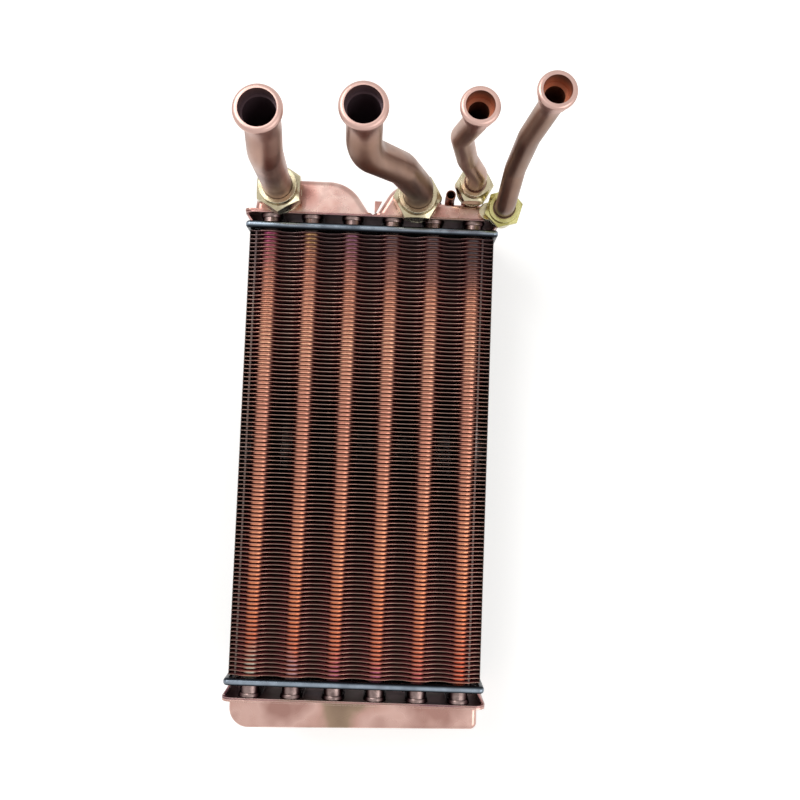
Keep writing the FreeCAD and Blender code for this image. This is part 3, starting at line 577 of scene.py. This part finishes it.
def fin_copper(name, metallic, roughness, near_ramp):
    """Copper of a fin, coloured by the distance from the nearest tube and darker towards the connection end.
    """
    material, tree, shader, place = start_material(name)
    near = from_nearest_tube(tree, place)
    fade = add(tree, "MapRange", {"Value": near, "From Max": tube_pitch / 2}).outputs["Result"]
    soot = add(tree, "TexNoise", {"Vector": place, "Scale": per_metre(SOOT_MM),
                                  "Detail": 4.0}).outputs["Fac"]
    stain = add(tree, "MapRange", {"Value": soot, "To Min": -STAIN_WANDER, "To Max": STAIN_WANDER})
    mixed = add(tree, "Math", {0: fade, 1: stain.outputs["Result"]}, operation="ADD", use_clamp=True)
    colour = add(tree, "ValToRGB", {"Fac": mixed.outputs["Value"]}, ramp=near_ramp).outputs["Color"]
    # Darker towards the connection end of the core, fading out over its first sixth.
    darker_at_end = add(tree, "MapRange", {"Value": along_core(tree, place), "From Min": DARK_END_REACH,
                                      "From Max": 0.0, "To Max": DARK_END_SHARE}).outputs["Result"]
    colour = add(tree, "Mix", {0: darker_at_end, 6: colour, 7: linear("#4A3E42")}, data_type="RGBA").outputs[2]
    rough = add(tree, "MapRange", {"Value": soot, "To Min": roughness - GLOSS_WANDER,
                                   "To Max": roughness + GLOSS_WANDER}).outputs["Result"]
    feed(tree, shader, {"Metallic": metallic, "Base Color": colour, "Roughness": rough})
    return material


fin_face = fin_copper("sooted_copper_fin", 0.2, 0.6,
                      [(0.0, "#B45E54"), (0.5, "#964E50"), (0.8, "#804444"), (1.0, "#70463E")])
fin_edge = fin_copper("sheared_copper_edge", 1.0, 0.4,
                      [(0.0, "#C48C74"), (0.4, "#A07466"), (0.75, "#907468"), (1.0, "#92786E")])
tab_copper = fin_copper("dulled_copper_tab", 1.0, 0.5,
                        [(0.0, "#5E504C"), (0.5, "#5A4E4A"), (0.8, "#544A46"), (1.0, "#504844")])
print("materials:", fin_face.name, fin_edge.name, tab_copper.name)

# %% [markdown]
# ## Giving the CAD nodes their metals
#
# A CAD node whose shape is right keeps its mesh and only gets a better material. Seals and spigots are
# known by the end of their names, and every other node by its start.

# %% Assign the finishes
ENDINGS = {"_seal": seal_fibre, "_spigot": nut_brass}
STARTS = {
    **pipe_finishes,
    "water_in_nut": yellow_brass,
    "water_out_nut": nut_brass,
    "return_nut": nut_brass,
    "flow_nut": nut_brass,
    "water_in_tube": inner_copper,
    "water_out_elbow": inner_copper,
    "vent_tube": inner_copper,
    "inner_": inner_copper,
    "outer_tube": tube_copper,
    "fins": fin_face,
    "connection_end_plate": plate_steel,
    "far_end_plate": plate_steel,
    "connection_tube_plate": plate_copper,
    "far_tube_plate": plate_copper,
    "far_cap": cap_copper,
    "return_cover": header_copper,
    "flow_cover": header_copper,
    "rim_tab": header_copper,
}


def finish_for(name):
    """The material of a CAD node, by the end or the start of its name."""
    for ending, material in ENDINGS.items():
        if name.endswith(ending):
            return material
    return next(material for start, material in STARTS.items() if name.startswith(start))


for name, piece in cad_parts.items():
    for material_slot in piece.material_slots:
        material_slot.material = finish_for(name)
print("nodes with a finish:", sum(len(piece.material_slots) > 0 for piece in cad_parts.values()))

# %% [markdown]
# ## Building new pieces
#
# New pieces are plain lists of points and faces, worked out by loops. One helper turns them into an object
# that rides on the part and shades smooth across soft angles only.

# %% Helper for a new piece
SOFT_ANGLE = math.radians(35)


def make_piece(name, points, faces, materials, slot, face_materials=None):
    """Mesh object of these points and faces that moves with the part."""
    mesh = bpy.data.meshes.new(name)
    mesh.from_pydata(points, [], faces)
    for material in materials:
        mesh.materials.append(material)
    if face_materials:
        mesh.polygons.foreach_set("material_index", face_materials)
    mesh.polygons.foreach_set("use_smooth", [True] * len(mesh.polygons))
    mesh.set_sharp_from_angle(angle=SOFT_ANGLE)
    mesh.update()
    piece = bpy.data.objects.new(name, mesh)
    bpy.context.collection.objects.link(piece)
    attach(piece, "root")
    print(name, "faces:", len(mesh.polygons))
    return piece


print("soft angle in degrees:", round(math.degrees(SOFT_ANGLE)))

# %% [markdown]
# ## The edge of a fin
#
# A fin is stamped from sheet, with a front and a back edge that rise over the tubes and dip between them.
# The dip is a smooth step of the distance from the nearest tube: flat over the tube, flat again midway to
# the next one, and without a kink between.

# %% Scallops
SCALLOP_DIP = 2.0 * MM
SCALLOP_START = 0.16
SCALLOP_SPAN = 0.24


def from_tube(x):
    """Distance from x to the middle of the nearest tube."""
    return min(abs(x - place) for place in tube_places)


def scallop(x):
    """How far the fin's edge lies below its crest at x."""
    t = min(max((from_tube(x) / tube_pitch - SCALLOP_START) / SCALLOP_SPAN, 0.0), 1.0)
    return SCALLOP_DIP * t * t * (3 - 2 * t)


print("dip between the tubes in mm:", round(scallop((tube_places[0] + tube_places[1]) / 2) / MM, 2))

# %% [markdown]
# ## One fin
#
# The fin could be a plane cut by Booleans, but 108 of those are slow. Here it is a row of upright columns
# of four points each: back edge, foot of the slot, head of the slot and front edge. The middle stretch is
# left open wherever a column crosses a slot for a tube.

# %% Columns of a fin
SLOT_CLEARANCE = 0.05 * MM
SLOT_STEPS = 8
SLOT_STOPS = [math.cos(math.pi * k / SLOT_STEPS) for k in range(SLOT_STEPS, -1, -1)]
BETWEEN_STOPS = (0.29, 0.36, 0.43, 0.5)
LEAST_COLUMN = 0.1 * MM
ROUNDING = 1e-6
slot_radius = tube_radius + SLOT_CLEARANCE
slot_head = tube_high.z - tube_radius
slot_foot = tube_low.z + tube_radius


def fin_columns():
    """Columns (x, four heights, whether a slot is open to the next column) from left to right."""
    stops = []
    for place in tube_places:
        stops += [(place + stop * slot_radius, place) for stop in SLOT_STOPS]
        stops += [(place + side * stop * tube_pitch, place) for side in (-1, 1) for stop in BETWEEN_STOPS]
    columns = []
    for x, place in sorted(set((round(x, 7), place) for x, place in stops)):
        if columns and x - columns[-1][0] < LEAST_COLUMN:
            continue
        across = min(abs(x - place) / slot_radius, 1.0)
        rise = slot_radius * math.sqrt(1 - across * across)
        heights = (fins_low.z + scallop(x), slot_foot - rise, slot_head + rise, fins_high.z - scallop(x))
        columns.append((x, heights, -slot_radius < x - place + ROUNDING < slot_radius - ROUNDING))
    return columns


columns = fin_columns()
print("columns in a fin:", len(columns))

# %% [markdown]
# ## Waves in the fins
#
# Thin fins are never quite flat: each has its own gentle wave, and the first two under the steel plate are
# bent the most. The wave is a sum of two sines whose phases come from a seeded random generator, so that
# every run gives the same pack. The tubes hold the fins still.

# %% Wave of a fin
WAVE = 0.10 * MM
BENT_WAVE = 0.32 * MM
BENT_FINS = 2
HELD_SHARE = 0.6
LONG_WAVE = 2.1
SHORT_WAVE = 5.3
SHORT_SHARE = 0.5
DEPTH_WAVE = 60
waves = random.Random(7)
fin_phases = [(waves.uniform(0, math.tau), waves.uniform(0, math.tau), waves.uniform(0.4, 1.0))
              for _ in range(FIN_COUNT)]


def fin_wave(i, x, z):
    """How far fin i is bent along the tubes at (x, z); it is held still at the tubes' slots."""
    first, second, size = fin_phases[i]
    height = BENT_WAVE if i < BENT_FINS else WAVE * size
    away = from_tube(x) / (tube_pitch / 2)
    hold = max(away - HELD_SHARE, 0.0) / (1 - HELD_SHARE)
    long_wave = math.sin(x / tube_pitch * LONG_WAVE + first)
    short_wave = math.sin(x / tube_pitch * SHORT_WAVE + z * DEPTH_WAVE + second)
    return height * hold * (long_wave + SHORT_SHARE * short_wave)


print("waves of the first fin:", [round(value, 2) for value in fin_phases[0]])

# %% [markdown]
# ## Faces of a fin
#
# All the fins share one list of faces. Each column joins the next one on both sides of the sheet, and a
# narrow wall closes every edge: the outline and the rims of the slots. The walls are the sheared edges,
# and get the second material.

# %% Faces of one fin
SHEET = 0
SHEARED = 1


def fin_faces():
    """Faces of one fin and their kinds; the points of the sheet's second side follow those of its first."""
    count = 4 * len(columns)
    faces, kinds = [], []

    def wall(a, b):
        faces.append([a, b, b + count, a + count])
        kinds.append(SHEARED)

    for i in range(len(columns) - 1):
        here, there = 4 * i, 4 * (i + 1)
        open_slot = columns[i][2]
        for row in range(3):
            if row == 1 and open_slot:
                continue
            side = [here + row, there + row, there + row + 1, here + row + 1]
            faces.extend([side, [a + count for a in reversed(side)]])
            kinds.extend([SHEET, SHEET])
        wall(there, here)
        wall(here + 3, there + 3)
        if open_slot:
            wall(here + 1, there + 1)
            wall(there + 2, here + 2)
            if not columns[i - 1][2]:
                wall(here + 2, here + 1)
            if not columns[i + 1][2]:
                wall(there + 1, there + 2)
    for row in range(3):
        wall(row, row + 1)
        wall(count - 3 + row, count - 4 + row)
    return faces, kinds


one_fin, one_kinds = fin_faces()
print("faces in a fin:", len(one_fin))

# %% [markdown]
# ## The whole pack
#
# The pack is one mesh, because 108 objects would be slow to handle. Each fin takes its place along the
# tubes and its own wave, and the pack stands in for the flat fins of the CAD.

# %% Stack the fins
def stacked_fins():
    """Points and faces of all the fins."""
    points, faces = [], []
    for i, y in enumerate(fin_ys):
        base = len(points)
        for side in (0.5, -0.5):
            for x, heights, _ in columns:
                points += [(x, y + side * FIN_THICKNESS + fin_wave(i, x, z), z) for z in heights]
        faces += [[base + a for a in face] for face in one_fin]
    return points, faces


pack_kinds = one_kinds * FIN_COUNT
fin_pack = make_piece("fin_pack", *stacked_fins(), [fin_face, fin_edge], "fin_copper", pack_kinds)
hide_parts("fins")

# %% [markdown]
# ## Sweeping a section round the tubes
#
# Collars, lips and braze rings are the same kind of shape: a small closed section swept round the flat oval
# of a tube. The oval is two half circles, and every point on it knows its outward direction, so one
# sweep makes them all.

# %% Oval of a tube and the sweep
def oval(centre_x, steps):
    """Points and outward directions round a tube."""
    ring = []
    for centre_z, start_angle in ((slot_head, 0.0), (slot_foot, math.pi)):
        for k in range(steps + 1):
            angle = start_angle + math.pi * k / steps
            across, up = math.cos(angle), math.sin(angle)
            ring.append((centre_x + tube_radius * across, centre_z + tube_radius * up, across, up))
    return ring


def collars(name, ys, section, steps, material, slot):
    """Closed section of (outwards, along) points, in metres, swept round every tube at each y."""
    points, faces = [], []
    size = len(section)
    for y in ys:
        for centre_x in tube_places:
            base = len(points)
            ring = oval(centre_x, steps)
            for x, z, across, up in ring:
                points += [(x + across * out, y + along, z + up * out) for out, along in section]
            for k in range(len(ring)):
                here, there = base + k * size, base + (k + 1) % len(ring) * size
                for j in range(size):
                    after = (j + 1) % size
                    faces.append([here + j, here + after, there + after, there + j])
    return make_piece(name, points, faces, [material], slot)


print("height of the oval in mm:", round((tube_high.z - tube_low.z) / MM, 1))

# %% [markdown]
# ## Collars round the tubes
#
# The slot's edge isn't cut clean through: the punch draws a short collar out of the fin, which grips the
# tube and keeps the next fin at its distance. Where it leaves the sheet the collar flares.

# %% Collars of the fins
COLLAR_GAP = 0.02 * MM
COLLAR_LENGTH = 1.5 * MM
COLLAR_WALL = 0.6 * MM
COLLAR_CHAMFER = 0.1 * MM
FLARE = 0.5 * MM
COLLAR_STEPS = 9
fin_side = -FIN_THICKNESS / 2
collar_section = [
    (COLLAR_GAP, fin_side),
    (COLLAR_WALL + FLARE, fin_side),
    (COLLAR_WALL + FLARE * 0.25, fin_side - FLARE * 0.7),
    (COLLAR_WALL, -COLLAR_LENGTH),
    (COLLAR_GAP, -COLLAR_LENGTH - COLLAR_CHAMFER),
]
collars("fin_collars", fin_ys, collar_section, COLLAR_STEPS, collar_copper, "fin_copper")

# %% [markdown]
# ## Drawn lips on the tube plates
#
# In the gap between each steel plate and its header the tubes show as short stubs, crossed by two bright
# arcs. The first is the lip that is drawn out of the header's tube plate. It is wider than a fin's collar
# and softly rounded.

# %% Lips of the tube plates
LIP_STEPS = 14
PLATE_SHEET = 1.2 * MM
LIP_PROFILE_MM = ((0.05, 0.0), (1.3, 0.0), (0.95, 0.3), (0.8, 0.9), (0.75, 1.9), (0.5, 2.3), (0.05, 2.4))


def lip_section(towards):
    """Section of a drawn lip that stands on a plate and points towards +1 or -1 along Y."""
    section = [(out * MM, towards * along * MM) for out, along in LIP_PROFILE_MM]
    return section if towards < 0 else section[::-1]


near_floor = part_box("connection_tube_plate")[1].y - PLATE_SHEET
far_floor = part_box("far_tube_plate")[0].y + PLATE_SHEET
collars("connection_plate_lips", [near_floor], lip_section(-1), LIP_STEPS, tube_copper, "header_copper")
collars("far_plate_lips", [far_floor], lip_section(1), LIP_STEPS, tube_copper, "header_copper")

# %% [markdown]
# ## Braze rings
#
# The second arc is the ring of braze where a tube leaves the steel plate. Molten braze creeps into the
# corner and sets as a soft round, so the section is an ellipse that sinks a little into the tube.

# %% Rings of braze at the steel plates
RING_HALF = 0.55 * MM
RING_RAISE = 0.55
RING_STRETCH = 1.2
RING_STEPS = 7
BRAZE_OFFSET = 1.1 * MM


def ring_section():
    """Section of a round ring of braze."""
    section = []
    for k in range(RING_STEPS):
        angle = -math.tau * k / RING_STEPS
        out = RING_HALF * (RING_RAISE + math.cos(angle))
        section.append((out, RING_HALF * RING_STRETCH * math.sin(angle)))
    return section


braze_ys = [steel_middles[0] + BRAZE_OFFSET, steel_middles[1] - BRAZE_OFFSET]
collars("plate_braze_rings", braze_ys, ring_section(), LIP_STEPS, tube_copper, "tube_copper")

# %% [markdown]
# ## Folded tabs at the sides
#
# Near each side edge a small tab is folded out of every fin, to keep the fins apart where there is no
# tube. Seen from the front the tabs line up as one faint vertical line.

# %% Fold the tabs
BOX_FACES = ((0, 1, 2, 3), (7, 6, 5, 4), (0, 4, 5, 1), (1, 5, 6, 2), (2, 6, 7, 3), (3, 7, 4, 0))
TAB_WIDTH = 1.1 * MM
TAB_THICKNESS = 0.3 * MM
TAB_LENGTH = fin_pitch - 0.75 * MM
TAB_DEPTH = 0.5 * MM
TAB_FROM_LEFT = 4.2 * MM
TAB_FROM_RIGHT = 7.2 * MM


def folded_tabs():
    """Points and faces of the small boxes, one to a fin at each side."""
    points, faces = [], []
    for i, y in enumerate(fin_ys):
        for x in (fins_low.x + TAB_FROM_LEFT, fins_high.x - TAB_FROM_RIGHT):
            base = len(points)
            z = fins_high.z - scallop(x) - TAB_DEPTH
            top = y - FIN_THICKNESS / 2 + fin_wave(i, x, z)
            for along in (0, -TAB_LENGTH):
                for across, up in ((-1, 0), (1, 0), (1, -1), (-1, -1)):
                    points.append((x + across * TAB_WIDTH / 2, top + along, z + up * TAB_THICKNESS))
            faces += [[base + a for a in quad] for quad in BOX_FACES]
    return points, faces


make_piece("fin_tabs", *folded_tabs(), [tab_copper], "fin_copper")

# %% [markdown]
# ## Folded sides
#
# At its two short ends every fin is folded down and reaches almost to the next fin. The folds stack into
# the closed dark sides of the pack, with the sheared edges standing a little proud of them. They follow
# the waves of both fins, so that no light comes through the seams.

# %% Fold the sides
FOLD_SHEET = 0.35 * MM
FOLD_SETBACK = 0.8 * MM
FOLD_GAP = 0.03 * MM
fold_foot = fins_low.z + scallop(fins_low.x) + FOLD_SETBACK
fold_head = fins_high.z - scallop(fins_low.x) - FOLD_SETBACK


def folded_sides():
    """Points and faces of the folds, two to each fin but the last."""
    points, faces = [], []
    sides = ((fins_low.x, fins_low.x + FOLD_SHEET), (fins_high.x, fins_high.x - FOLD_SHEET))
    for i in range(FIN_COUNT - 1):
        for outer, inner in sides:
            base = len(points)
            corners = ((outer, fold_foot), (inner, fold_foot), (inner, fold_head), (outer, fold_head))
            for fin, side, gap in ((i, -0.5, 0.0), (i + 1, 0.5, FOLD_GAP)):
                sheet = fin_ys[fin] + side * FIN_THICKNESS + gap
                points += [(x, sheet + fin_wave(fin, x, z), z) for x, z in corners]
            faces += [[base + a for a in quad] for quad in BOX_FACES]
    return points, faces


make_piece("fin_side_folds", *folded_sides(), [tab_copper], "fin_copper")

# %% [markdown]
# ## Floor
#
# The floor is matt and white. A real white floor under studio light fills the camera's range, so it glows a
# little on top of the lamps, but only to the camera and in reflections: it adds no light to the part. Under
# the core it doesn't glow, so that nothing bright shows through the gaps between the fins, and it still
# darkens a little where the part shades it.

# %% Floor
FLOOR_HALF = 3.0
SEEN_GLOW = 0.45
OPEN_FLOOR = 1 * MM


def studio_rays(tree):
    """Socket that is 1 on rays that show the studio: the camera's own, reflected and refracted ones."""
    rays = add(tree, "LightPath").outputs
    seen = add(tree, "Math", {0: rays["Is Camera Ray"], 1: rays["Is Glossy Ray"]}, operation="ADD")
    return add(tree, "Math", {0: seen.outputs["Value"], 1: rays["Is Transmission Ray"]}, operation="ADD",
               use_clamp=True).outputs["Value"]


def white_floor():
    """Matt white that glows on studio rays, except under the core."""
    material, tree, shader, place = start_material("matt_white_floor")
    from_core = add(tree, "VectorMath", {0: place, 1: core_middle}, operation="SUBTRACT").outputs[0]
    away = add(tree, "VectorMath", {0: from_core}, operation="ABSOLUTE").outputs[0]
    past = add(tree, "VectorMath", {0: away, 1: core_half}, operation="SUBTRACT").outputs[0]
    sides = add(tree, "SeparateXYZ", {"Vector": past}).outputs
    gap = add(tree, "Math", {0: sides["X"], 1: sides["Y"]}, operation="MAXIMUM").outputs[0]
    level = add(tree, "MapRange", {"Value": gap, "From Max": OPEN_FLOOR, "To Max": SEEN_GLOW})
    glow = add(tree, "Math", {0: studio_rays(tree), 1: level.outputs["Result"]}, operation="MULTIPLY")
    feed(tree, shader, {"Base Color": linear("#F4F4F2"), "Roughness": 1.0, "Specular IOR Level": 0.0,
                        "Emission Color": linear("#FFFFFF"), "Emission Strength": glow.outputs[0]})
    return material


floor_corners = [(x * FLOOR_HALF, y * FLOOR_HALF, 0) for x, y in ((-1, -1), (1, -1), (1, 1), (-1, 1))]
floor_mesh = bpy.data.meshes.new("floor")
floor_mesh.from_pydata(floor_corners, [], [(0, 1, 2, 3)])
floor_mesh.materials.append(white_floor())
floor = bpy.data.objects.new("floor", floor_mesh)
bpy.context.collection.objects.link(floor)
print("floor in metres:", 2 * FLOOR_HALF)

# %% [markdown]
# ## World
#
# The world is white to the same rays, so that the metals mirror a bright studio, and weaker as a light, so
# that the lamps still give the part its shape.

# %% World
WORLD_FILL = 0.45
world = bpy.data.worlds.new("white_studio")
world.use_nodes = True
bpy.context.scene.world = world
world_tree = world.node_tree
world_level = add(world_tree, "MapRange", {"Value": studio_rays(world_tree), "To Min": WORLD_FILL})
feed(world_tree, world_tree.nodes["Background"],
     {"Color": linear("#FFFFFF"), "Strength": world_level.outputs["Result"]})
print("world fill:", WORLD_FILL)

# %% [markdown]
# ## Lamps
#
# Two large soft lamps stand on either side, the stronger one at the connection end. They stay at a plain
# level, at which a colour renders about as it is written, so the view transform is the standard one.

# %% Lamps
KEY_PLACE = (-0.7, 0.5, 1.2)
FILL_PLACE = (0.9, -0.6, 1.1)


def soft_lamp(name, place, side, power, aim):
    """Square area lamp of this side, in metres, and power, in watts, aimed at a point."""
    light = bpy.data.lights.new(name, "AREA")
    light.size = side
    light.energy = power
    lamp = bpy.data.objects.new(name, light)
    lamp.location = place
    lamp.rotation_euler = (Vector(aim) - Vector(place)).to_track_quat("-Z", "Y").to_euler()
    bpy.context.collection.objects.link(lamp)


soft_lamp("key_lamp", KEY_PLACE, side=0.8, power=9.0, aim=core_middle)
soft_lamp("fill_lamp", FILL_PLACE, side=0.9, power=5.0, aim=core_middle)
bpy.context.scene.view_settings.view_transform = "Standard"
